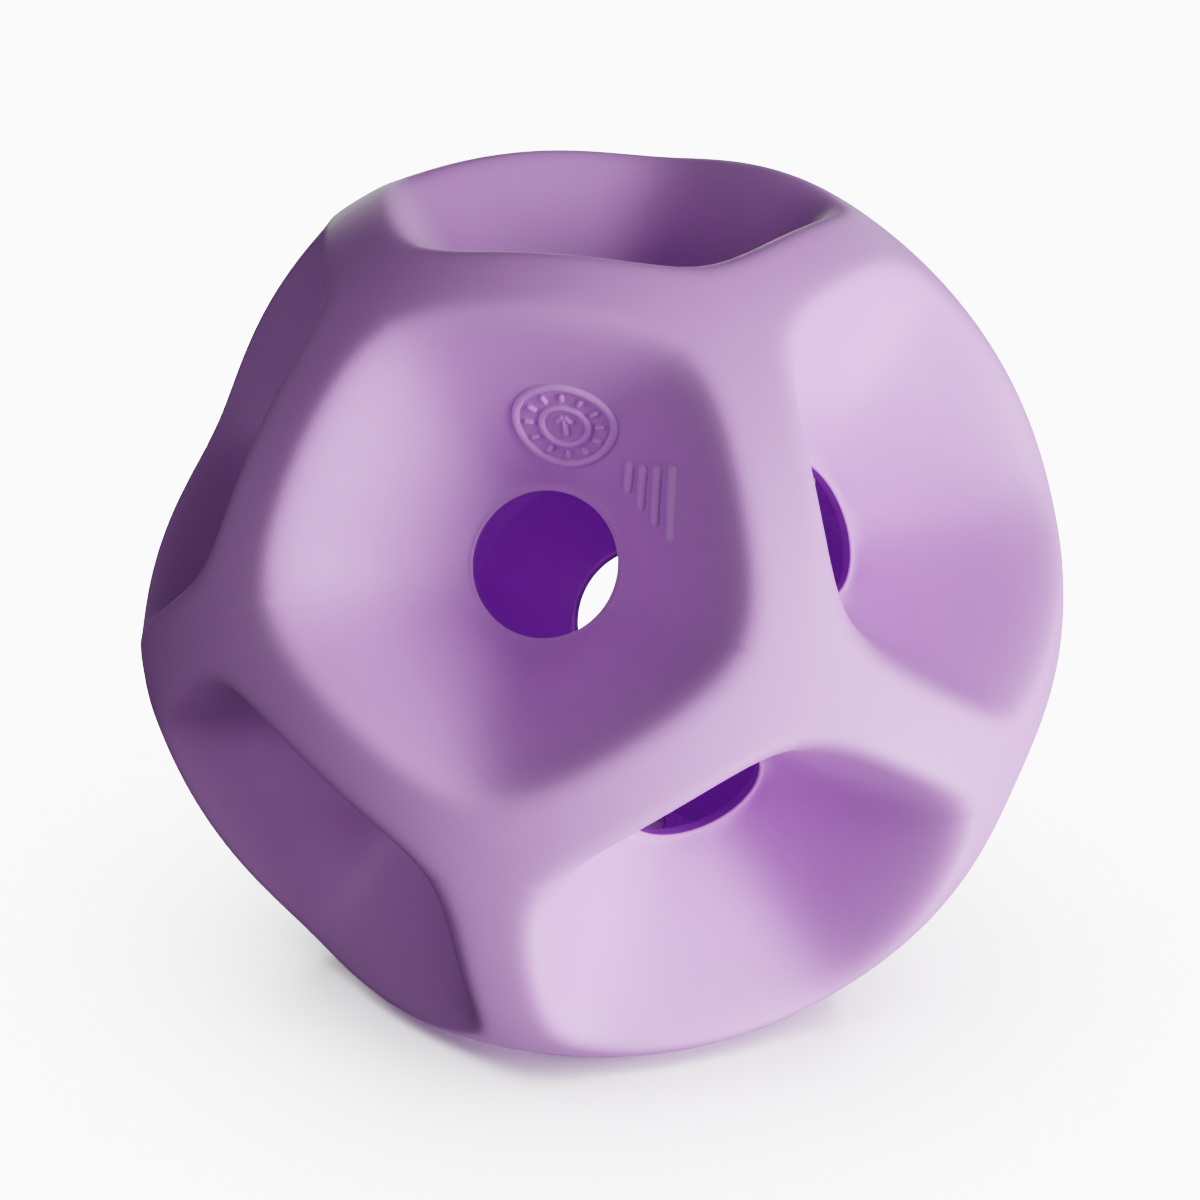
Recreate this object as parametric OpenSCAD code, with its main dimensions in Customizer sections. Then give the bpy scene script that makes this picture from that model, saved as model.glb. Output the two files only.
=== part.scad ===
// Hollow rubber ball in the shape of a rounded dodecahedron. Each of its twelve faces is a deep dish
// with a round hole at the bottom. It is moulded as two half shells of six faces each, which are bonded
// along the ridge crests where they meet. The two differ only in the back hole, which is wider.
// Millimetres and degrees. Z is up through the top face, and the face with the two small moulded marks
// looks towards -Y and up. The origin is on the floor, under the middle of the ball.

/* [Ridges] */
// Radius of the sphere that the ridge crests follow, mm
crest_r = 50.3; // [46:0.1:54]
// Radius over which the walls of a dish round into the crests, mm
crest_round = 3.6; // [2:0.1:4.5]

/* [Dishes] */
// Slope of the walls of a dish against the plane of its face, degrees
wall_slope = 51; // [48:0.1:54]
// Distance from the middle of the ball to the planes in which the walls of the dishes lie, mm
wall_reach = 11.6; // [10.8:0.1:12.6]
// Sharpness of the valleys between the five walls of a dish, no unit
valley_sharpness = 21; // [12:1:30]
// Sharpness of the meeting of neighbouring dishes, no unit
ridge_sharpness = 26; // [18:1:50]

/* [Holes] */
// Diameter of the hole in each dish but the back one, mm
hole_d = 15; // [10:0.1:20]
// Diameter of the back hole, opposite the hole in the marked face, mm
back_hole_d = 17.5; // [12:0.1:22]
// Width of the flat rim around each hole, mm
rim_w = 0.6; // [0.5:0.1:2]

/* [Wall] */
// Thickness of the rubber at the ridges, mm
wall_t = 3; // [2:0.1:4]
// Thickness of the rubber at the rim of a hole, mm
rim_t = 1.2; // [0.8:0.1:2]

/* [Bond] */
// Thickness of the cured rubber cement between the half shells, mm
bond_t = 0.2; // [0.1:0.05:0.5]

/* [Smoothness] */
// Steps along one edge of a face
edge_steps = 10; // [6:2:12]
// Steps from a hole up to the ridge on the outside
outer_steps = 8; // [5:1:10]
// Steps from a hole up to the ridge on the inside
inner_steps = 4; // [3:1:6]

/* [Hidden] */

// A dodecahedron: five edges and five neighbours to a face, axes of neighbouring faces at this angle
sides = 5;
turn = 360 / sides;
face_tilt = atan(2);
edge_tilt = face_tilt / 2;

// The faces of one half in its own frame: the pole face looks along +Z, its neighbours lean around it
pole = [0, 0, 1];
ring = [for (k = [0 : sides - 1]) let (a = 90 + turn * k)
    [sin(face_tilt) * cos(a), sin(face_tilt) * sin(a), cos(face_tilt)]];
half_faces = concat([pole], ring);
all_faces = concat(half_faces, [for (f = half_faces) -f]);
first_edge = 90 - turn / 2;

// The five wall planes of each dish, as outward normals, all at the same distance from the middle
wall_lean = edge_tilt + wall_slope;
walls = [for (f = all_faces)
    [for (g = all_faces) if (f != g && f * g > 0)
        cos(wall_lean) * unit(f + g) + sin(wall_lean) * unit(f - g)]];

spokes = sides * edge_steps;
print_step = 0.001;

function unit(v) = v / norm(v);
function total(list) = list * [for (x = list) 1];

// Least and greatest of a list with the corner between them rounded, where k is the sharpness
function soft_min(list, k) = let (m = min(list)) m - ln(total([for (x = list) exp(k * (m - x))])) / k;
function soft_max(list, k) = -soft_min(-list, k);
function shares(list, k) = let (e = [for (x = list) exp(k * (min(list) - x))]) e / total(e);

// Distance from the middle to the outer skin, along the unit vector d
function skin(d) =
    let (dishes = [for (w = walls) soft_min([for (n = w) d * n], valley_sharpness)])
    soft_min([crest_r, wall_reach / soft_max(dishes, ridge_sharpness)], 1 / crest_round);

// The rim of a hole of this diameter in the pole face: its radius, and its height over the middle
function rim_height(r, z, rounds) = rounds == 0 ? z
    : let (d = unit([r, 0, z])) rim_height(r, skin(d) * d.z, rounds - 1);
function rim(d) = let (r = d / 2 + rim_w) [r, rim_height(r, wall_reach * 2, 12)];

// Direction of spoke j of the pole face, where t runs from 0 at the rim to 1 on the ridge crest
function heading(rim, j, t) =
    let (
        a = first_edge + j * turn / edge_steps,
        b = (j % edge_steps) * turn / edge_steps - turn / 2,
        reach = rim[0] / rim[1] * (1 - t) + tan(edge_tilt) / cos(b) * t)
    unit([reach * cos(a), reach * sin(a), 1]);

function outer_point(rim, j, t) =
    let (d = heading(rim, j, t)) t == 0 ? d * rim[1] / d.z : d * skin(d);

// Outward normal of the skin along the unit vector d: each rounding passes on the slopes of what it
// joins, by the share that each of them has in it
function skin_normal(d) =
    let (
        heights = [for (w = walls) [for (n = w) d * n]],
        dishes = [for (h = heights) soft_min(h, valley_sharpness)],
        level = soft_max(dishes, ridge_sharpness),
        dish_slopes = [for (i = [0 : len(walls) - 1]) shares(heights[i], valley_sharpness) * walls[i]],
        level_slope = shares(-dishes, ridge_sharpness) * dish_slopes,
        crest_share = shares([wall_reach / level, crest_r], 1 / crest_round)[0],
        slope = -crest_share * wall_reach / level ^ 2 * level_slope)
    unit(skin(d) * d - slope + (slope * d) * d);

// The inside lies one wall under the skin, and the wall thins towards the hole
function inner_point(rim, j, t) = let (d = heading(rim, j, t))
    t == 0 ? outer_point(rim, j, 0) - rim_t * pole
    : outer_point(rim, j, t) - (rim_t + (wall_t - rim_t) * sin(90 * t)) * skin_normal(d);

// Points of the pole face: the rows of the outside, and then those of the inside
function face_patch(rim) = concat(
    [for (i = [0 : outer_steps]) for (j = [0 : spokes - 1]) outer_point(rim, j, i / outer_steps)],
    [for (i = [0 : inner_steps]) for (j = [0 : spokes - 1]) inner_point(rim, j, i / inner_steps)]);
plain_patch = face_patch(rim(hole_d));
inside = (outer_steps + 1) * spokes;
outer_edge = outer_steps * spokes;
inner_edge = inside + inner_steps * spokes;

// Half a turn about the middle of the edge to the pole face brings the pole's patch onto face f
function place(p, f) = f == pole ? p : let (u = unit(pole + f)) 2 * (u * p) * u - p;
function snap(p) = [for (x = p) round(x / print_step) * print_step];

// True where the edge of face f with this number lies on the seam
function on_seam(f, edge) = place(ring[edge], f).z < 0;

// The edge with this number starts at the spoke edge * edge_steps, and faces ring[edge]
function two(a, b, c, d) = [[a, b, c], [a, c, d]];
function skin_faces(base, steps, outward) =
    [for (i = [0 : steps - 1]) for (j = [0 : spokes - 1])
        let (
            k = (j + 1) % spokes,
            a = base + i * spokes + j,
            b = base + i * spokes + k,
            c = b + spokes,
            d = a + spokes)
        for (f = outward ? two(a, b, c, d) : two(d, c, b, a)) f];
function cap_face(base, outward) =
    [outward ? [for (j = [spokes - 1 : -1 : 0]) base + j] : [for (j = [0 : spokes - 1]) base + j]];
function seam_faces(base, f) =
    [for (j = [0 : spokes - 1]) if (on_seam(f, floor(j / edge_steps)))
        let (k = (j + 1) % spokes)
        for (t = two(base + outer_edge + j, base + outer_edge + k,
                     base + inner_edge + k, base + inner_edge + j)) t];

function half_points(pole_patch) =
    [for (f = half_faces) for (p = f == pole ? pole_patch : plain_patch) snap(place(p, f))];
half_mesh = [for (n = [0 : sides])
    let (base = n * len(plain_patch), under = base + inside)
    for (t = concat(cap_face(base, true), skin_faces(base, outer_steps, true),
                    cap_face(under, false), skin_faces(under, inner_steps, false),
                    seam_faces(base, half_faces[n]))) t];

// One stretch of cement from spoke j to the next, between the two seam faces
seam_stretches = [for (f = ring) for (j = [0 : spokes - 1]) if (on_seam(f, floor(j / edge_steps)))
    let (k = (j + 1) % spokes)
    [for (i = [outer_edge + j, outer_edge + k, inner_edge + k, inner_edge + j])
        snap(place(plain_patch[i], f))]];
bond_points = [for (s = seam_stretches) for (side = [1, -1]) for (p = s) p + side * bond_t / 2 * pole];
bond_mesh = [for (n = [0 : len(seam_stretches) - 1]) let (b = 8 * n)
    for (t = concat(two(b + 3, b + 2, b + 1, b), two(b + 4, b + 5, b + 6, b + 7),
                    two(b, b + 1, b + 5, b + 4), two(b + 2, b + 3, b + 7, b + 6))) t];

// The ball rests on the ridges around its bottom face, which belongs to the rear half
rest_z = max([for (p = plain_patch) p.z]) + bond_t / 2 * cos(face_tilt);

module in_place() {
    translate([0, 0, rest_z]) rotate([face_tilt, 0, 0]) children();
}

// The cutter of a hole stands out of the rubber by the thickness of the rim, inside and outside
module bore(f, d) {
    rotate([0, acos(f.z), atan2(f.y, f.x)])
        translate([0, 0, rim(d)[1] - 2 * rim_t])
            cylinder(d = d, h = 3 * rim_t, $fn = 64);
}

module half_shell(pole_patch, pole_hole_d) {
    translate([0, 0, bond_t / 2])
        difference() {
            polyhedron(points = half_points(pole_patch), faces = half_mesh, convexity = 8);
            bore(pole, pole_hole_d);
            for (f = ring) bore(f, hole_d);
        }
}

module front_half_shell() {
    color([0.80, 0.66, 0.87]) in_place() half_shell(plain_patch, hole_d);
}

module rear_half_shell() {
    color([0.74, 0.59, 0.82]) in_place() rotate([180, 0, 0])
        half_shell(face_patch(rim(back_hole_d)), back_hole_d);
}

module seam_bond() {
    color([0.55, 0.38, 0.66]) in_place()
        polyhedron(points = bond_points, faces = bond_mesh, convexity = 8);
}

front_half_shell();
rear_half_shell();
seam_bond();
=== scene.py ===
import math

import bmesh
import bpy
import numpy as np
from mathutils import Matrix, Vector
from mathutils.bvhtree import BVHTree


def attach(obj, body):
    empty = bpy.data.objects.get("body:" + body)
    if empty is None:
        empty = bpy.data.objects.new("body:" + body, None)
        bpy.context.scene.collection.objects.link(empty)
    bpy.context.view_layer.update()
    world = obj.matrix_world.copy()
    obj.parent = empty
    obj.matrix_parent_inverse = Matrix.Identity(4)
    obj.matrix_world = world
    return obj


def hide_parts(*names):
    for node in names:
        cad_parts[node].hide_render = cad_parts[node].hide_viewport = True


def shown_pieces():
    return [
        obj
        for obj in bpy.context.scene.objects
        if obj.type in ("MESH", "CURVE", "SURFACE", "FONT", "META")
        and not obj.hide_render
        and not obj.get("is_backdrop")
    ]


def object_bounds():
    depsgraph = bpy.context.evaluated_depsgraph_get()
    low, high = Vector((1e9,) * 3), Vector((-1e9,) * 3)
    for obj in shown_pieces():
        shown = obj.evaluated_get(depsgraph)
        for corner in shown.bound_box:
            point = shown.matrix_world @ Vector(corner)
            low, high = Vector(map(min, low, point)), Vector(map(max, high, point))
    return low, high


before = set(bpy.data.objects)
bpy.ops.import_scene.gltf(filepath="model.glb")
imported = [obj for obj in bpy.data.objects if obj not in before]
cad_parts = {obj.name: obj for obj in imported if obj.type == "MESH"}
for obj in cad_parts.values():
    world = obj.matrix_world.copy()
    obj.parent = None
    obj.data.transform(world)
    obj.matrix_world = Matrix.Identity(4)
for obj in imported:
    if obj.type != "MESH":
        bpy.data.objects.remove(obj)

# The ball in this script: lengths of the shape are in millimetres, as in the part's source, and MM
# turns them into Blender's metres. Places in the scene around it are in metres.
MM = 0.001
CAD_LOW, CAD_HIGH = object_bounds()
BALL_CENTRE = (CAD_LOW + CAD_HIGH) / 2

# ---------------------------------------------------------------------------------------------------
# Image points, in the photograph's 1200 x 1200 frame
# ---------------------------------------------------------------------------------------------------
W, H = 1200, 1200
EDGE_POINTS = {"left_edge": 145, "right_edge": 1065, "top_edge": 152, "bottom_edge": 1056}
POINTS = {
    "front_hole": (544, 566),
    "right_hole_outer_side": (853, 555),
    "lower_hole_under_side": (662, 837),
    "dial": (565, 424),
    "firmness_bars": (650, 502),
}

# ---------------------------------------------------------------------------------------------------
# Camera: turned, raised and rolled round the middle of the ball
# ---------------------------------------------------------------------------------------------------
CAMERA_TURN = math.radians(12.95)
CAMERA_RISE = math.radians(21.17)
CAMERA_ROLL = math.radians(0.80)
CAMERA_DISTANCE = 0.3436
CAMERA_AIM = BALL_CENTRE + Vector((0.0, -0.0002, -0.0006))
CAMERA_LENS = 93.9
SENSOR_WIDTH = 36.0


def make_camera():
    data = bpy.data.cameras.new("photo_camera")
    data.sensor_fit = "AUTO"
    data.sensor_width = SENSOR_WIDTH
    data.lens = CAMERA_LENS
    data.clip_start = 0.01
    data.clip_end = 30
    camera = bpy.data.objects.new("photo_camera", data)
    bpy.context.collection.objects.link(camera)
    turn = Matrix.Rotation(CAMERA_TURN, 4, "Z") @ Matrix.Rotation(math.pi / 2 - CAMERA_RISE, 4, "X")
    back_off = Matrix.Translation((0, 0, CAMERA_DISTANCE)) @ Matrix.Rotation(CAMERA_ROLL, 4, "Z")
    camera.matrix_world = Matrix.Translation(CAMERA_AIM) @ turn @ back_off
    bpy.context.scene.camera = camera
    bpy.context.view_layer.update()
    return camera


def image_ray(camera, x, y):
    """The world ray from the camera through the image point x, y, as its start and direction."""
    data = camera.data
    longest = max(W, H)
    across = Vector((
        x - W / 2 + data.shift_x * longest,
        H / 2 - y + data.shift_y * longest,
        -longest * data.lens / data.sensor_width,
    ))
    return camera.matrix_world.translation.copy(), (camera.matrix_world.to_3x3() @ across).normalized()


def place_on_surface(camera, tree, x, y):
    """Where the image point x, y falls on the surface in the tree, or the place nearest its ray."""
    origin, direction = image_ray(camera, x, y)
    hit = tree.ray_cast(origin, direction)[0]
    if hit is None:
        reach = (BALL_CENTRE - origin).dot(direction)
        hit = tree.find_nearest(origin + direction * reach)[0]
    return hit


def to_image(camera, points):
    """Image x, y of world points, in the photograph's frame."""
    data = camera.data
    longest = max(W, H)
    away = np.array(points) - np.array(camera.matrix_world.translation)
    local = away @ np.array(camera.matrix_world.to_3x3())
    scale = longest * data.lens / data.sensor_width / -local[:, 2]
    x = W / 2 - data.shift_x * longest + local[:, 0] * scale
    y = H / 2 + data.shift_y * longest - local[:, 1] * scale
    return np.column_stack((x, y))


# ---------------------------------------------------------------------------------------------------
# Shape of the ball, by the same rules and sizes as the part's source, in millimetres
# ---------------------------------------------------------------------------------------------------
CREST_R = 50.3
CREST_ROUND = 3.6
WALL_SLOPE = math.radians(51)
WALL_REACH = 11.6
VALLEY_SHARPNESS = 21.0
RIDGE_SHARPNESS = 26.0
HOLE_R = 7.5
BACK_HOLE_R = 8.75
RIM_W = 0.6
WALL_T = 3.0
RIM_T = 1.2
BOND_T = 0.2

# How the finished surface is divided, and the rounded lips of the holes
SIDES = 5
EDGE_STEPS = 34
SPOKES = SIDES * EDGE_STEPS
OUTER_STEPS = 44
INNER_STEPS = 6
LIP_STEPS = 4
LIP_ROUND = 0.22
LAST_STEP = 0.994
RIM_HEIGHT_PASSES = 12

FACE_TILT = math.atan(2)
EDGE_TILT = FACE_TILT / 2
TURN = 2 * math.pi / SIDES
POLE = np.array((0.0, 0.0, 1.0))


def unit(v):
    return v / np.linalg.norm(v, axis=-1, keepdims=True)


def leaning_face(number):
    around = math.pi / 2 + TURN * number
    flat = math.sin(FACE_TILT)
    return np.array((flat * math.cos(around), flat * math.sin(around), math.cos(FACE_TILT)))


RING = [leaning_face(number) for number in range(SIDES)]
HALF_FACES = [POLE] + RING
ALL_FACES = np.array(HALF_FACES + [-face for face in HALF_FACES])
WALL_LEAN = EDGE_TILT + WALL_SLOPE


# Faces whose directions have a greater cosine than this are one and the same
NOT_ITSELF = 0.99


def dish_walls(face):
    """Outward normals of the five wall planes of one dish."""
    near = [other for other in ALL_FACES if 0 < face @ other < NOT_ITSELF]
    across, along = math.sin(WALL_LEAN), math.cos(WALL_LEAN)
    return [along * unit(face + other) + across * unit(face - other) for other in near]


WALLS = np.array([dish_walls(face) for face in ALL_FACES])


def shares(values, sharpness):
    """How much each value has in the soft least of the last axis."""
    weight = np.exp(sharpness * (values.min(-1, keepdims=True) - values))
    return weight / weight.sum(-1, keepdims=True)


def soft_min(values, sharpness):
    least = values.min(-1, keepdims=True)
    return least[..., 0] - np.log(np.exp(sharpness * (least - values)).sum(-1)) / sharpness


def skin(d):
    """Distance from the middle to the outer skin along each unit vector, and its outward normal there."""
    heights = np.einsum("nk,fwk->nfw", d, WALLS)
    dishes = soft_min(heights, VALLEY_SHARPNESS)
    level = -soft_min(-dishes, RIDGE_SHARPNESS)
    reaches = np.stack((WALL_REACH / level, np.full(len(d), CREST_R)), axis=-1)
    radius = soft_min(reaches, 1 / CREST_ROUND)
    slopes = np.einsum("nfw,fwk->nfk", shares(heights, VALLEY_SHARPNESS), WALLS)
    level_slope = np.einsum("nf,nfk->nk", shares(-dishes, RIDGE_SHARPNESS), slopes)
    wall_share = shares(reaches, 1 / CREST_ROUND)[:, 0]
    slope = -(wall_share * WALL_REACH / level**2)[:, None] * level_slope
    flat_slope = slope - (slope * d).sum(-1, keepdims=True) * d
    return radius, unit(radius[:, None] * d - flat_slope)


AROUND = math.pi / 2 - TURN / 2 + np.arange(SPOKES) * TURN / EDGE_STEPS


def along_spokes(reach):
    """Points and normals of the pole face's skin at one reach per spoke, reach being radius over height."""
    d = unit(np.column_stack((reach * np.cos(AROUND), reach * np.sin(AROUND), np.ones(SPOKES))))
    radius, normal = skin(d)
    return d * radius[:, None], normal


def rim_height(rim_r):
    """How high the flat rim of a hole lies over the ball's middle, for the rim's outer radius."""
    height = 2 * WALL_REACH
    for _ in range(RIM_HEIGHT_PASSES):
        d = unit(np.array([[rim_r, 0, height]]))
        height = skin(d)[0][0] * d[0, 2]
    return height


def bent(start, corner, end, steps):
    """Rows of points on a curve that rounds off a corner, without its start."""
    rows = []
    for step in range(1, steps + 1):
        t = step / steps
        rows.append((1 - t) ** 2 * start + 2 * t * (1 - t) * corner + t**2 * end)
    return rows


def ring_row(radius, height):
    """One point per spoke on a level circle round the pole face's axis."""
    return np.column_stack((radius * np.cos(AROUND), radius * np.sin(AROUND), np.full(SPOKES, height)))


def face_rows(hole_r):
    """Rows of points over the pole face's wall: down the inside, round the hole's lip, up the outside."""
    rim_r = hole_r + RIM_W
    top = rim_height(rim_r)
    under = top - RIM_T
    offset = np.arange(SPOKES) % EDGE_STEPS * TURN / EDGE_STEPS - TURN / 2
    ridge_reach = math.tan(EDGE_TILT) / np.cos(offset)
    outer = []
    for t in sorted([*np.linspace(0, 1, OUTER_STEPS + 1)[1:], LAST_STEP]):
        outer.append(along_spokes(rim_r / top * (1 - t) + ridge_reach * t)[0])
    inner = []
    for t in np.linspace(1, 0, INNER_STEPS + 1)[:-1]:
        point, normal = along_spokes(rim_r / top * (1 - t) + ridge_reach * t)
        inner.append(point - (RIM_T + (WALL_T - RIM_T) * math.sin(math.pi / 2 * t)) * normal)
    inner.append(ring_row(rim_r, under))
    inner.append(ring_row(hole_r + LIP_ROUND, under))
    lip = bent(inner[-1], ring_row(hole_r, under), ring_row(hole_r, under + LIP_ROUND), LIP_STEPS)
    lip.append(ring_row(hole_r, top - LIP_ROUND))
    lip += bent(lip[-1], ring_row(hole_r, top), ring_row(hole_r + LIP_ROUND, top), LIP_STEPS)
    foot = ring_row(rim_r - LIP_ROUND, top)
    return inner + lip + [foot] + bent(foot, ring_row(rim_r, top), outer[1], LIP_STEPS) + outer[2:]


def to_face(points, face):
    """The pole face's points brought to another face by half a turn about the middle of their edge."""
    if face is POLE:
        return points
    axis = unit(POLE + face)
    return 2 * (points @ axis)[:, None] * axis - points


def into_place(points, rear):
    """Points of a half shell in its own frame, in millimetres, to the ball's place in metres."""
    moved = points + np.array((0, 0, BOND_T / 2))
    if rear:
        moved = moved * np.array((1, -1, -1))
    tilt = np.array(Matrix.Rotation(FACE_TILT, 3, "X"))
    return moved @ tilt.T * MM + np.array(BALL_CENTRE)


def edge_on_seam(face, edge):
    return face is not POLE and to_face(RING[edge][None, :], face)[0, 2] < 0


ROWS = face_rows(HOLE_R)
BACK_ROWS = face_rows(BACK_HOLE_R)
ROW_COUNT = len(ROWS)
LIP_ROW = INNER_STEPS + 2 * LIP_STEPS + 2


def new_object(name, points, faces, smooth=True):
    mesh = bpy.data.meshes.new(name)
    mesh.from_pydata([tuple(p) for p in points], [], faces)
    mesh.update()
    obj = bpy.data.objects.new(name, mesh)
    bpy.context.collection.objects.link(obj)
    if smooth:
        mesh.shade_smooth()
    return obj


# Corners closer than this are one, m, and edges that turn more than this stay sharp
WELD = 1e-7
SHARP = math.radians(40)


def tidy_mesh(obj):
    """Joins neighbouring patches, turns every face outwards and keeps the square edges square."""
    bm = bmesh.new()
    bm.from_mesh(obj.data)
    bmesh.ops.remove_doubles(bm, verts=bm.verts, dist=WELD)
    bmesh.ops.recalc_face_normals(bm, faces=bm.faces)
    for edge in bm.edges:
        if len(edge.link_faces) == 2 and edge.calc_face_angle() > SHARP:
            edge.smooth = False
    bm.to_mesh(obj.data)
    bm.free()


# Where a shell's materials stand in its list
SKIN = 0
INSIDE = 1
BORE = 2


def row_material(row):
    """Which material a row of faces has: the inner wall, the bore of the hole, or the skin."""
    if row <= INNER_STEPS:
        return INSIDE
    return BORE if row <= INNER_STEPS + LIP_STEPS + 1 else SKIN


def half_shell(name, rear):
    """One moulding: six dished faces with their holes, and the flat seam faces along its rim."""
    points = []
    faces = []
    material_of = []
    last = (ROW_COUNT - 1) * SPOKES
    for face in HALF_FACES:
        patch = np.concatenate(BACK_ROWS if rear and face is POLE else ROWS)
        base = len(points)
        points.extend(into_place(to_face(patch, face), rear))
        for row in range(ROW_COUNT - 1):
            for j in range(SPOKES):
                k = (j + 1) % SPOKES
                a = base + row * SPOKES
                faces.append((a + j, a + k, a + SPOKES + k, a + SPOKES + j))
                material_of.append(row_material(row))
        for j in range(SPOKES):
            if edge_on_seam(face, j // EDGE_STEPS):
                k = (j + 1) % SPOKES
                faces.append((base + last + j, base + last + k, base + k, base + j))
                material_of.append(SKIN)
    obj = new_object(name, points, faces)
    for polygon, index in zip(obj.data.polygons, material_of):
        polygon.material_index = index
    tidy_mesh(obj)
    return obj


def seam_ribbon(name):
    """The cured cement between the two seam faces: a thin ribbon that zigzags round the ball."""
    points = []
    faces = []
    inside, outside = ROWS[0], ROWS[-1]
    for face in RING:
        for j in range(SPOKES):
            if not edge_on_seam(face, j // EDGE_STEPS):
                continue
            k = (j + 1) % SPOKES
            corners = to_face(np.array((outside[j], outside[k], inside[k], inside[j])), face)
            base = len(points)
            for lift in (0, -BOND_T):
                points.extend(into_place(corners + np.array((0, 0, lift)), False))
            for a, b, c, d in ((3, 2, 1, 0), (4, 5, 6, 7), (0, 1, 5, 4), (2, 3, 7, 6)):
                faces.append((base + a, base + b, base + c, base + d))
    obj = new_object(name, points, faces)
    tidy_mesh(obj)
    return obj


# ---------------------------------------------------------------------------------------------------
# Marks moulded on the front face: rounded beads that stand a little proud of the skin
# ---------------------------------------------------------------------------------------------------
BEAD_H = 0.5
BEAD_SUNK = 0.25
BEAD_SIDES = 9
BEAD_FULLNESS = 0.8
BEAD_BLUNT = 0.02


class SurfacePatch:
    """A flat drawing plane laid on the skin at a point: x to the right and y up as the mark is read."""

    def __init__(self, middle, up_hint):
        local = (np.array(middle) - np.array(BALL_CENTRE)) / MM
        self.middle = local
        normal = self.on_skin(local[None, :])[1][0]
        up = up_hint - (up_hint @ normal) * normal
        self.up = unit(up)
        self.right = np.cross(self.up, normal)

    def on_skin(self, points):
        """The skin under these points, seen from the middle of the ball, with its normals."""
        tilt = np.array(Matrix.Rotation(FACE_TILT, 3, "X"))
        d = unit(points) @ tilt
        radius, normal = skin(d)
        return (d * radius[:, None]) @ tilt.T, normal @ tilt.T

    def lay(self, drawing):
        flat = np.array(drawing)
        return self.on_skin(self.middle + flat[:, :1] * self.right + flat[:, 1:] * self.up)


def rounded_ends(path, radius):
    """How full an open bead is at each of its points, so that it ends in half a round."""
    steps = np.linalg.norm(np.diff(path, axis=0), axis=1)
    along = np.concatenate(((0,), np.cumsum(steps)))
    from_end = np.minimum(along, along[-1] - along) / radius
    return np.sqrt(1 - (1 - np.clip(from_end, BEAD_BLUNT, 1)) ** 2)


def bead(patch, drawing, width, closed):
    """Points and faces of one rounded bead that follows a drawn line on the skin."""
    path, normals = patch.lay(drawing)
    ahead = np.roll(path, -1, axis=0) - np.roll(path, 1, axis=0)
    full = np.ones(len(path))
    if not closed:
        full = rounded_ends(path, width / 2)
        ahead[0] = path[1] - path[0]
        ahead[-1] = path[-1] - path[-2]
    side = unit(np.cross(ahead, normals))
    turns = np.linspace(0, math.pi, BEAD_SIDES)
    across = width / 2 * np.cos(turns)
    height = BEAD_H * np.sin(turns) ** BEAD_FULLNESS
    count = len(path)
    points = []
    for i in range(count):
        edges = full[i] * across
        ring = path[i] + edges[:, None] * side[i] + full[i] * height[:, None] * normals[i]
        foot = path[i] + edges[[-1, 0], None] * side[i] - BEAD_SUNK * normals[i]
        points.extend(ring)
        points.extend(foot)
    size = BEAD_SIDES + 2
    faces = []
    for i in range(count if closed else count - 1):
        a = i * size
        b = (i + 1) % count * size
        for s in range(size):
            t = (s + 1) % size
            faces.append((a + s, a + t, b + t, b + s))
    if not closed:
        faces.append(tuple(range(size)))
        faces.append(tuple(range((count - 1) * size, count * size)))
    return points, faces


def bead_group(name, patch, strokes):
    """One piece out of several beads, each given as (drawing, width, closed)."""
    points = []
    faces = []
    for drawing, width, closed in strokes:
        more, more_faces = bead(patch, drawing, width, closed)
        base = len(points)
        points.extend(more)
        faces.extend(tuple(base + i for i in face) for face in more_faces)
    obj = new_object(name, np.array(points) * MM + np.array(BALL_CENTRE), faces)
    tidy_mesh(obj)
    return obj


def circle(radius, count):
    turns = [2 * math.pi * i / count for i in range(count)]
    return [(radius * math.cos(turn), radius * math.sin(turn)) for turn in turns]


def line(start, end, count=20):
    """Points on a straight stroke, closer together towards its ends."""
    start = np.array(start)
    steps = (1 - np.cos(np.linspace(0, math.pi, count + 1))) / 2
    return [tuple(start + (np.array(end) - start) * step) for step in steps]


# The dial's two rings as (radius, points, stroke width), its ticks, and its pointer's strokes, mm
DIAL_RINGS = ((5.0, 72, 0.85), (2.4, 48, 0.7))
TICKS = 12
TICK_FROM, TICK_TO = 3.1, 4.2
TICK_POINTS = 10
FINE_STROKE = 0.6
POINTER = (((0, -1.3), (0, 1.3)), ((-0.8, 0.4), (0, 1.4)), ((0.8, 0.4), (0, 1.4)))

# The bars, mm: how far their middle line lies over the place where they are set on the wall
BAR_LENGTHS = (3.0, 4.8, 6.6, 8.4)
BAR_PITCH = 2.7
BAR_STROKE = 1.3
BARS_UP = 1.1


def dial_strokes():
    """A plain dial: two rings, twelve ticks between them and a pointer."""
    strokes = [(circle(radius, count), width, True) for radius, count, width in DIAL_RINGS]
    for number in range(TICKS):
        angle = 2 * math.pi / TICKS * number
        out = np.array((math.sin(angle), math.cos(angle)))
        strokes.append((line(TICK_FROM * out, TICK_TO * out, TICK_POINTS), FINE_STROKE, False))
    for start, end in POINTER:
        strokes.append((line(start, end), FINE_STROKE, False))
    return strokes


def bar_strokes():
    """Four bars side by side on one middle line, each longer than the last."""
    strokes = []
    for number, length in enumerate(BAR_LENGTHS):
        x = (number - (len(BAR_LENGTHS) - 1) / 2) * BAR_PITCH
        strokes.append((line((x, BARS_UP - length / 2), (x, BARS_UP + length / 2)), BAR_STROKE, False))
    return strokes


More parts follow.
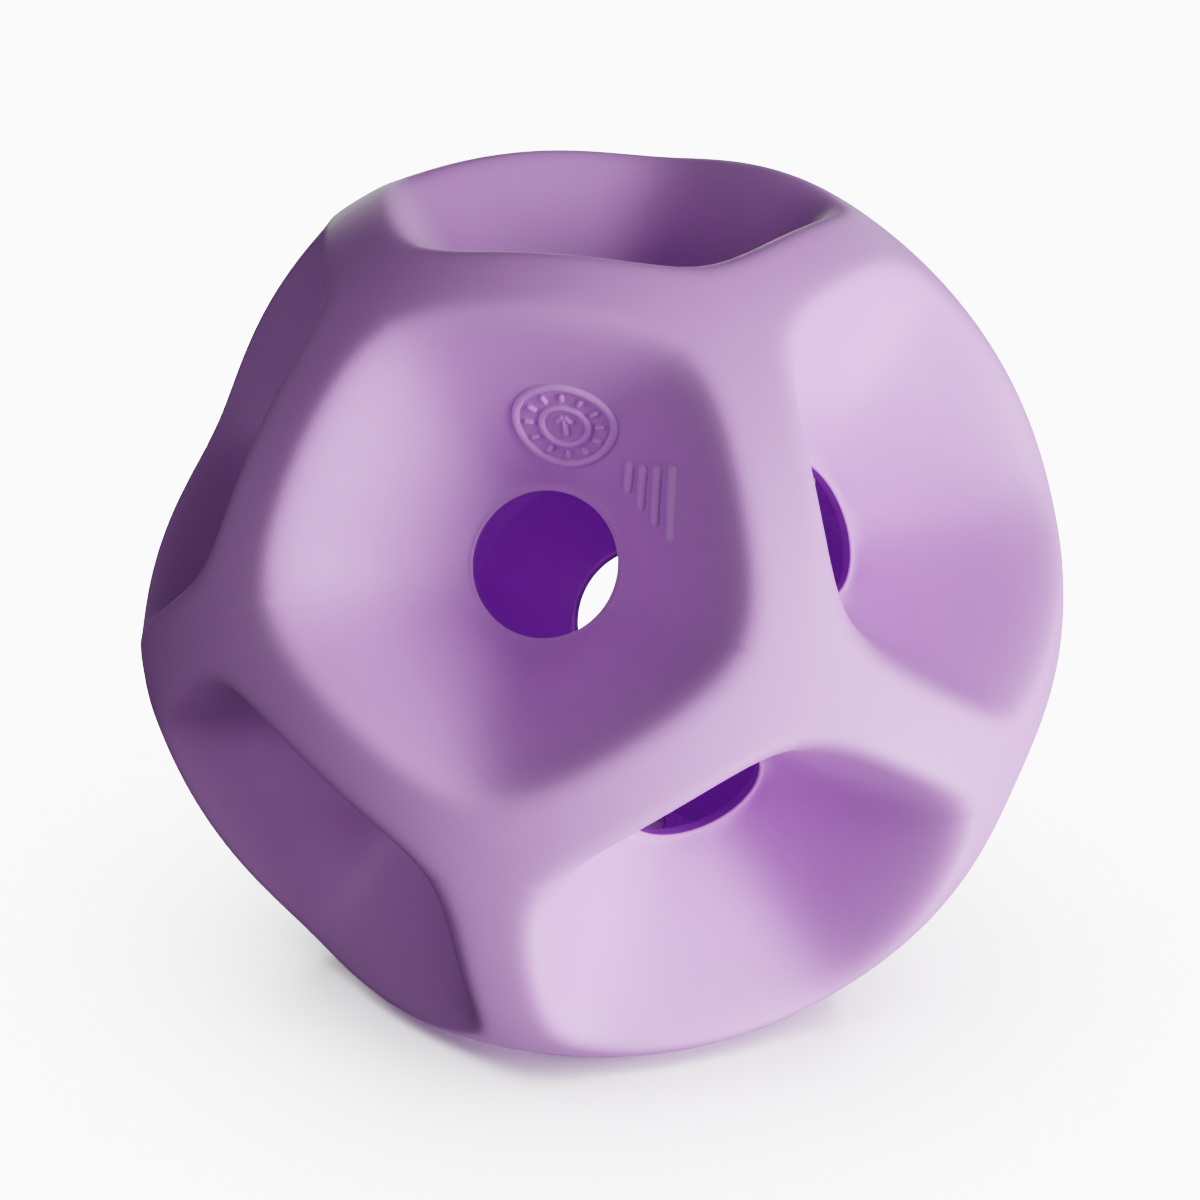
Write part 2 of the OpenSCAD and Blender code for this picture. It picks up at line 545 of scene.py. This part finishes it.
# ---------------------------------------------------------------------------------------------------
# Materials
# ---------------------------------------------------------------------------------------------------
LILAC = (0.65, 0.365, 0.79)
# A paler copy of the rubber for the raised marks: a painted highlight on their tops
MARK_HIGHLIGHT_LILAC = (0.73, 0.44, 0.87)
# A darker copy of the rubber for the inner wall: painted shade
INSIDE_SHADE_LILAC = (0.58, 0.29, 0.72)
# A much darker copy of the rubber for the bore of each hole: painted shade
BORE_SHADE_LILAC = (0.21, 0.07, 0.35)
# Emission colour and strength on the inner wall and the bores: a painted glow, not a lamp
PAINTED_GLOW_COLOUR = (0.6, 0.18, 0.95)
PAINTED_GLOW_LEVEL = 0.05
ROUGHNESS = 0.52
SPECULAR = 0.35

# The ridges are a little paler from this distance from the middle, mm: a painted highlight on the crests
CREST_HIGHLIGHT_FROM_R = 47.5
CREST_HIGHLIGHT_SHARE = 0.6

# Where a Mix node of colours has its two colours and its result
PALER_FROM, PALER_TO, PALER_OUT = 6, 7, 2


class Nodes:
    """Short calls that add and join the nodes of one material."""

    def __init__(self, name):
        self.material = bpy.data.materials.new(name)
        self.material.use_nodes = True
        self.tree = self.material.node_tree
        self.shader = self.tree.nodes["Principled BSDF"]

    def add(self, kind, **values):
        node = self.tree.nodes.new(kind)
        for key, value in values.items():
            if hasattr(node, key):
                setattr(node, key, value)
            else:
                node.inputs[key.replace("_", " ")].default_value = value
        return node

    def join(self, source, socket, node, target):
        self.tree.links.new(source.outputs[socket], node.inputs[target])


def times(colour, factor, lift=0.0):
    """A colour times a factor plus a lift, with its alpha."""
    return (*[min(1, c * factor + lift) for c in colour], 1)


def rubber_colour(n, place, colour):
    """Faint clouding of the colour, and ridges made paler as a painted highlight."""
    clouds = n.add("ShaderNodeTexNoise", Scale=38.0, Detail=4.0, Roughness=0.55)
    n.join(place, "Object", clouds, "Vector")
    tint = n.add("ShaderNodeValToRGB")
    tint.color_ramp.elements[0].position = 0.3
    tint.color_ramp.elements[0].color = times(colour, 0.955)
    tint.color_ramp.elements[1].position = 0.7
    tint.color_ramp.elements[1].color = times(colour, 1.03)
    n.join(clouds, "Fac", tint, "Fac")
    out = n.add("ShaderNodeVectorMath", operation="DISTANCE")
    out.inputs[1].default_value = BALL_CENTRE
    n.join(place, "Object", out, 0)
    # Painted highlight: the colour turns paler and whiter towards the ridge crests
    crest_highlight = n.add("ShaderNodeMapRange")
    crest_highlight.inputs["From Min"].default_value = CREST_HIGHLIGHT_FROM_R * MM
    crest_highlight.inputs["From Max"].default_value = CREST_R * MM
    crest_highlight.inputs["To Max"].default_value = CREST_HIGHLIGHT_SHARE
    n.join(out, "Value", crest_highlight, "Value")
    paler = n.add("ShaderNodeMix", data_type="RGBA")
    paler.inputs[PALER_TO].default_value = times(colour, 1.03, 0.02)
    n.join(crest_highlight, "Result", paler, 0)
    n.join(tint, "Color", paler, PALER_FROM)
    n.join(paler, PALER_OUT, n.shader, "Base Color")


def rubber_scuffs(n, place):
    """Soft scuffs, as patches that are a little smoother or duller."""
    scuffs = n.add("ShaderNodeTexNoise", Scale=120.0, Detail=6.0, Roughness=0.65)
    n.join(place, "Object", scuffs, "Vector")
    dull = n.add("ShaderNodeMapRange")
    dull.inputs["From Min"].default_value = 0.3
    dull.inputs["From Max"].default_value = 0.7
    dull.inputs["To Min"].default_value = ROUGHNESS - 0.05
    dull.inputs["To Max"].default_value = ROUGHNESS + 0.06
    n.join(scuffs, "Fac", dull, "Value")
    n.join(dull, "Result", n.shader, "Roughness")


def rubber_relief(n, place):
    """A fine grain over a slow swell, as a shallow bump."""
    grain = n.add("ShaderNodeTexNoise", Scale=2600.0, Detail=3.0, Roughness=0.6)
    n.join(place, "Object", grain, "Vector")
    swell = n.add("ShaderNodeTexNoise", Scale=240.0, Detail=2.0)
    n.join(place, "Object", swell, "Vector")
    both = n.add("ShaderNodeMath", operation="MULTIPLY_ADD")
    both.inputs[1].default_value = 0.35
    n.join(grain, "Fac", both, 0)
    n.join(swell, "Fac", both, 2)
    bump = n.add("ShaderNodeBump", Strength=0.25, Distance=0.00012)
    n.join(both, "Value", bump, "Height")
    n.join(bump, "Normal", n.shader, "Normal")


def rubber(name, colour, painted_glow=0.0):
    """Matt moulded rubber. Its last argument is the strength of an emission: a painted glow on the
    wall's inner side that stands in for light coming through the thin wall."""
    n = Nodes(name)
    place = n.add("ShaderNodeTexCoord")
    rubber_colour(n, place, colour)
    rubber_scuffs(n, place)
    rubber_relief(n, place)
    n.shader.inputs["Specular IOR Level"].default_value = SPECULAR
    # Painted glow: an emission that stands in for light coming through the wall
    n.shader.inputs["Emission Color"].default_value = (*PAINTED_GLOW_COLOUR, 1)
    n.shader.inputs["Emission Strength"].default_value = painted_glow
    return n.material


def floor_material():
    n = Nodes("pale_floor")
    place = n.add("ShaderNodeTexCoord")
    mottle = n.add("ShaderNodeTexNoise", Scale=6.0, Detail=3.0)
    n.join(place, "Object", mottle, "Vector")
    tint = n.add("ShaderNodeValToRGB")
    tint.color_ramp.elements[0].color = (0.86, 0.86, 0.865, 1)
    tint.color_ramp.elements[1].color = (0.88, 0.88, 0.885, 1)
    n.join(mottle, "Fac", tint, "Fac")
    n.join(tint, "Color", n.shader, "Base Color")
    n.shader.inputs["Roughness"].default_value = 0.8
    return n.material


def dress(obj, *materials):
    for material in materials:
        obj.data.materials.append(material)


# ---------------------------------------------------------------------------------------------------
# Floor and light
# ---------------------------------------------------------------------------------------------------
FLOOR_REACH = 6.0


def make_floor(height):
    """A pale floor that is only seen: it neither shades the ball nor shows in it."""
    corners = [(x * FLOOR_REACH, y * FLOOR_REACH, 0) for x, y in ((-1, -1), (1, -1), (1, 1), (-1, 1))]
    floor = new_object("floor", corners, [(0, 1, 2, 3)], smooth=False)
    floor.location.z = height
    floor.visible_diffuse = False
    floor.visible_glossy = False
    floor.visible_shadow = False
    dress(floor, floor_material())
    floor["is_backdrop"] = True
    return floor


def softbox(name, turn, rise, distance, width, height, level):
    """An area light that looks at the ball, at this turn from the ball's front and this rise over its
    middle. Level is how bright it makes a white surface that faces it at the ball."""
    data = bpy.data.lights.new(name, "AREA")
    data.shape = "RECTANGLE"
    data.size = width
    data.size_y = height
    data.energy = level * (math.pi * distance) ** 2
    light = bpy.data.objects.new(name, data)
    bpy.context.collection.objects.link(light)
    light.visible_camera = False
    look = Matrix.Rotation(math.radians(turn), 4, "Z") @ Matrix.Rotation(math.radians(90 - rise), 4, "X")
    back_off = Matrix.Translation((0, 0, distance))
    light.matrix_world = Matrix.Translation(BALL_CENTRE) @ look @ back_off
    return light


def light_only(light, *objects):
    """Keeps a light to these objects."""
    group = bpy.data.collections.new(light.name + "_lights")
    for obj in objects:
        group.objects.link(obj)
    light.light_linking.receiver_collection = group


def make_world(strength):
    """A white world for camera rays alone."""
    world = bpy.data.worlds.new("studio")
    world.use_nodes = True
    background = world.node_tree.nodes["Background"]
    background.inputs["Color"].default_value = (1, 1, 1, 1)
    background.inputs["Strength"].default_value = strength
    world.cycles_visibility.diffuse = False
    world.cycles_visibility.glossy = False
    bpy.context.scene.world = world


# Each softbox: turn from the ball's front and rise over the level of its middle in degrees, distance,
# width and height in metres, and level. The light comes from the right, and much of it comes back up
# off the pale table there. The boxes below the table's level stand for that, so the floor itself
# neither shades the ball nor lights it. The last box is for views from behind.
SOFTBOXES = {
    "key": (73, 12, 1.2, 0.6, 0.42, 0.62),
    "low_front": (35, -12, 1.2, 0.5, 0.42, 0.145),
    "low_right": (67, -12, 1.2, 0.5, 0.42, 0.32),
    "table_bounce": (90, -40, 1.2, 0.5, 0.42, 0.56),
    "upper_front": (50, 38, 1.2, 0.5, 0.42, 0.145),
    "upper_right": (90, 38, 1.2, 0.5, 0.42, 0.1),
    "left_fill": (-50, 10, 1.2, 0.5, 0.42, 0.165),
    "back_fill": (170, 10, 1.2, 0.5, 0.42, 0.075),
    "back_left": (-158, 5, 1.2, 0.5, 0.42, 0.18),
}
FLOOR_LIGHT = (0, 85, 8.0, 12.0, 12.0, 9.0)

# Seen past the floor's far edge only: it lights nothing
WORLD_LEVEL = 5.0

# ---------------------------------------------------------------------------------------------------
# The scene
# ---------------------------------------------------------------------------------------------------
camera = make_camera()
make_world(WORLD_LEVEL)
for name, place in SOFTBOXES.items():
    softbox(name, *place)
bpy.context.scene.view_settings.view_transform = "Filmic"
bpy.context.scene.view_settings.look = "High Contrast"

front = half_shell("front_shell_skin", False)
rear = half_shell("rear_shell_skin", True)
ribbon = seam_ribbon("cement_line")
lilac = rubber("lilac_rubber", LILAC)
# Inner wall: the darker copy of the rubber, painted shade, with a painted glow
inner_shade_lilac = rubber("lilac_rubber_inside_painted_shade_and_glow", INSIDE_SHADE_LILAC, painted_glow=PAINTED_GLOW_LEVEL)
# Bores of the holes: the much darker copy of the rubber, painted shade, with a painted glow
bore_shade_lilac = rubber("lilac_rubber_bore_painted_shade_and_glow", BORE_SHADE_LILAC, painted_glow=PAINTED_GLOW_LEVEL)
# The marks get the paler copy of the rubber: painted highlight
mark_highlight_lilac = rubber("lilac_rubber_marks_painted_highlight", MARK_HIGHLIGHT_LILAC)
for obj, node, slot in (
    (front, "front_half_shell", "moulded_rubber"),
    (rear, "rear_half_shell", "moulded_rubber"),
    (ribbon, "seam_bond", "rubber_cement"),
):
    dress(obj, lilac, inner_shade_lilac, bore_shade_lilac)
    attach(obj, "root")
    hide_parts(node)

front_tree = BVHTree.FromObject(front, bpy.context.evaluated_depsgraph_get())
UP = np.array((0.0, 0.0, 1.0))
for name, strokes in (("dial", dial_strokes()), ("firmness_bars", bar_strokes())):
    spot = place_on_surface(camera, front_tree, *POINTS[name])
    mark = bead_group(name, SurfacePatch(spot, UP), strokes)
    dress(mark, mark_highlight_lilac)
    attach(mark, "root")


floor = make_floor(min(v.co.z for obj in (front, rear) for v in obj.data.vertices))
light_only(softbox("floor_light", *FLOOR_LIGHT), floor)

# ---------------------------------------------------------------------------------------------------
# How far each thing shows from its image point
# ---------------------------------------------------------------------------------------------------
def hole_edge(face):
    """The lip of one hole of the front half, in the world."""
    return into_place(to_face(ROWS[LIP_ROW], face), False)


def middle_of(points):
    return (points.min(0) + points.max(0)) / 2


def measured_points():
    """Where the model shows each image point. A side hole is the one whose middle is nearest its point."""
    shown = np.concatenate([
        to_image(camera, [v.co for v in obj.data.vertices]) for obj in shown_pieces() if obj.type == "MESH"])
    edges = {
        "left_edge": shown[:, 0].min(), "right_edge": shown[:, 0].max(),
        "top_edge": shown[:, 1].min(), "bottom_edge": shown[:, 1].max()}
    found = {"front_hole": middle_of(to_image(camera, hole_edge(POLE)))}
    lips = [to_image(camera, hole_edge(face)) for face in RING]
    for name, axis in (("right_hole_outer_side", 0), ("lower_hole_under_side", 1)):
        lip = min(lips, key=lambda points: np.linalg.norm(points.mean(0) - POINTS[name]))
        found[name] = lip[lip[:, axis].argmax()]
    for name in ("dial", "firmness_bars"):
        found[name] = middle_of(to_image(camera, [v.co for v in bpy.data.objects[name].data.vertices]))
    return edges, found


edges, found = measured_points()
errors = {name: round(float(edges[name] - value), 1) for name, value in EDGE_POINTS.items()}
for name, point in POINTS.items():
    errors[name] = [round(float(found[name][axis] - point[axis]), 1) for axis in (0, 1)]
